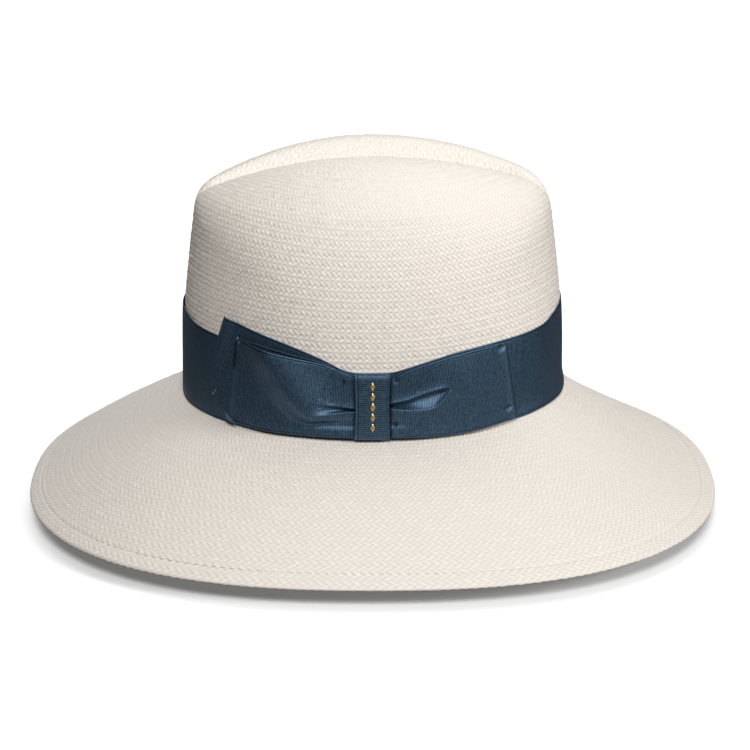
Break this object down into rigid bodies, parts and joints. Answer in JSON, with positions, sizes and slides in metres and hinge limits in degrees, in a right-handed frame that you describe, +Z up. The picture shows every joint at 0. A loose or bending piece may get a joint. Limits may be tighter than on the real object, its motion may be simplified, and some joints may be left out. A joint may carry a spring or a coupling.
{
  "type": "panama hat",
  "caption": "Wide-brimmed woven straw hat with a creased teardrop crown, turned-under sewn edge, leather sweatband, ribbon band and a flat side bow.",
  "frame": {"origin": "on the floor under the middle of the brim, which rests on it all round", "axes": "+Z up, the front of the hat points to -X and its back to +X, the bow sits on the -Y side"},
  "size_m": [0.373, 0.35, 0.185],
  "materials": {
    "straw": "bleached toquilla straw in a fine herringbone weave, satin",
    "thread": "white polyester sewing thread",
    "leather": "tan sheepskin, satin",
    "welt": "woven tape over a plastic reed",
    "tape": "tan leather, satin",
    "label": "plain woven label, blank",
    "lining_ribbon": "petrol blue ribbon",
    "ribbon": "petrol blue grosgrain, soft sheen",
    "gold_print": "flat gold foil print",
    "ribbon_thread": "petrol blue sewing thread"
  },
  "bodies": {
    "root": {"straw_crown": "straw", "straw_brim": "straw", "hem_stitching": "thread", "sweatband": "leather", "sweatband_reed": "welt", "sweatband_stitching": "thread", "sweatband_seam_tape": "tape", "size_label": "label", "sweatband_bow": "lining_ribbon", "hatband": "ribbon", "bow_loop_right": "ribbon", "bow_loop_left": "ribbon", "bow_under_layer": "ribbon", "bow_knot": "ribbon", "knot_motif": "gold_print", "bow_tacks": "ribbon_thread"}
  },
  "joints": []
}
